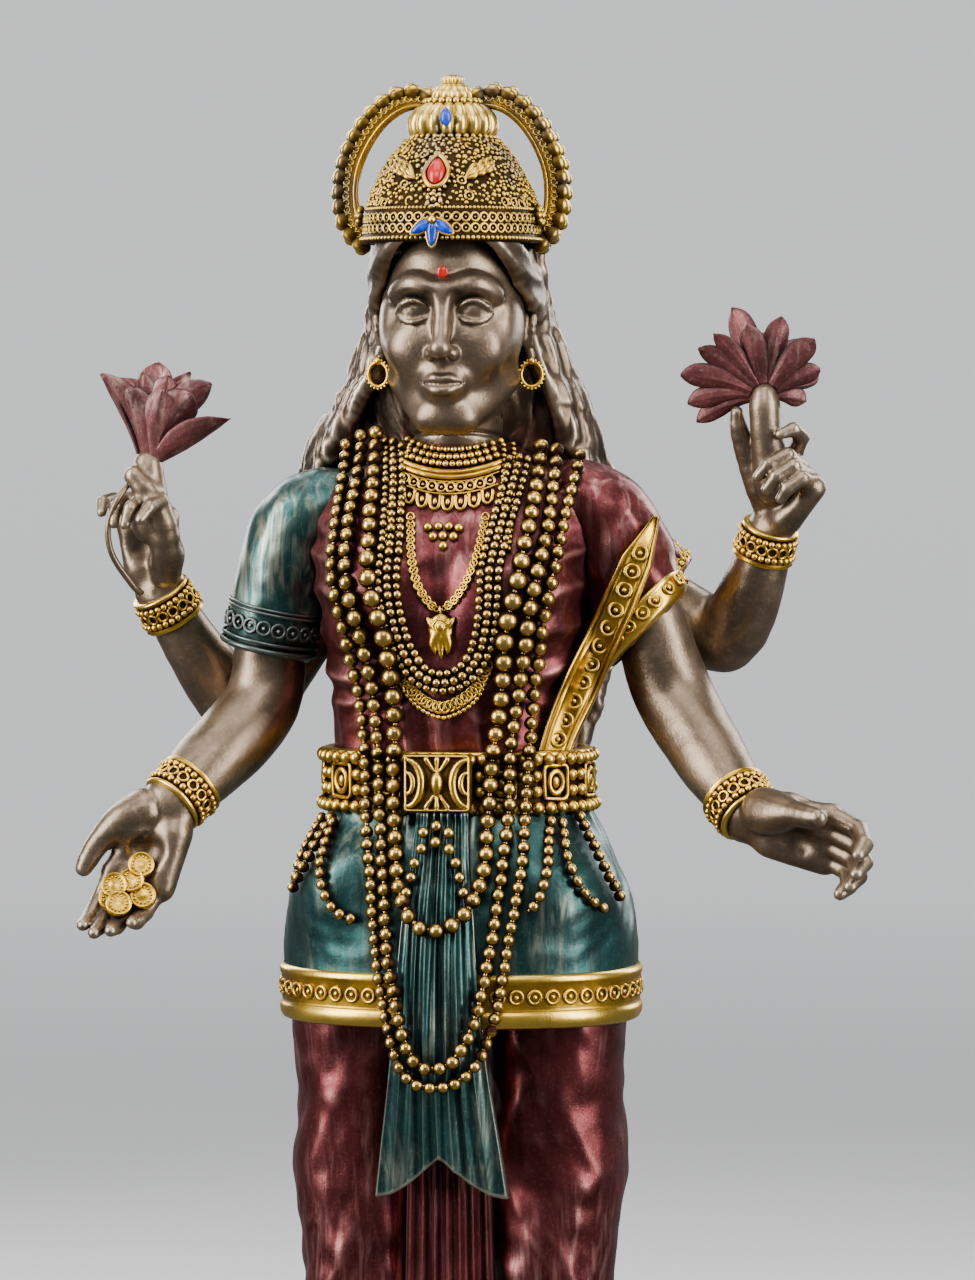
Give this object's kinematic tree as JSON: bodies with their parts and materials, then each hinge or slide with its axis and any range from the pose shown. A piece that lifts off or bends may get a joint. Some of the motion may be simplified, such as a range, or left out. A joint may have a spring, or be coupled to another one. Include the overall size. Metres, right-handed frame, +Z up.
{
  "type": "deity statue",
  "caption": "Standing four-armed deity statue in painted cold-cast resin with crown, bead strands, lotus flowers and a round lotus base.",
  "frame": {"origin": "centre of the felt pad's underside, where the statue rests", "axes": "+Z up through the figure, -Y the way the figure faces, +X towards the figure's left hand"},
  "size_m": [0.1136, 0.0688, 0.265],
  "materials": {
    "bronze": "cold-cast resin, bronze-coloured metallic wash rubbed back on the high spots",
    "hair_bronze": "cold-cast resin, dark bronze wash with paler rubbed strands",
    "gold": "gold metallic paint over resin with a dark wash in the recesses",
    "maroon": "maroon pearl paint over bronze resin",
    "teal": "teal pearl paint over bronze resin",
    "petal": "dull maroon paint over bronze resin",
    "red_enamel": "gloss red enamel",
    "blue_enamel": "gloss blue enamel",
    "felt": "pressed felt"
  },
  "bodies": {
    "root": {"felt_pad": "felt", "lotus_core": "bronze", "lower_petals": "petal", "upper_petals": "petal", "base_bead_ring": "gold", "right_foot": "bronze", "right_anklet": "gold", "left_foot": "bronze", "left_anklet": "gold", "right_leg": "maroon", "left_leg": "maroon", "front_pleats": "maroon", "right_leg_cuff": "gold", "left_leg_cuff": "gold", "tunic": "teal", "tunic_hem": "gold", "sash": "teal", "torso": "maroon", "belt": "gold", "belt_buckle": "gold", "right_sleeve": "teal", "left_drape": "maroon", "drape_border": "gold", "right_sleeve_border": "teal", "left_sleeve_border": "gold", "right_front_arm": "bronze", "right_front_bracelet": "gold", "left_front_arm": "bronze", "left_front_bracelet": "gold", "right_rear_arm": "bronze", "right_rear_bracelet": "gold", "left_rear_arm": "bronze", "left_rear_bracelet": "gold", "coins": "gold", "right_lotus": "petal", "left_lotus": "petal", "head": "bronze", "hair": "hair_bronze", "crown_cap": "gold", "crown_bun": "gold", "crown_finial": "gold", "crown_bow_right": "gold", "crown_bow_left": "gold", "crown_red_gem": "red_enamel", "crown_blue_gem": "blue_enamel", "crown_blue_petals": "blue_enamel", "bindi": "red_enamel", "right_earring": "gold", "left_earring": "gold", "long_strand_inner": "gold", "long_strand_middle": "gold", "long_strand_outer": "gold", "chest_bead_rope": "gold", "pendant_chain": "gold", "lace_chain": "gold", "right_hip_swag": "gold", "left_hip_swag": "gold", "pendant": "gold", "choker": "gold"}
  },
  "joints": []
}
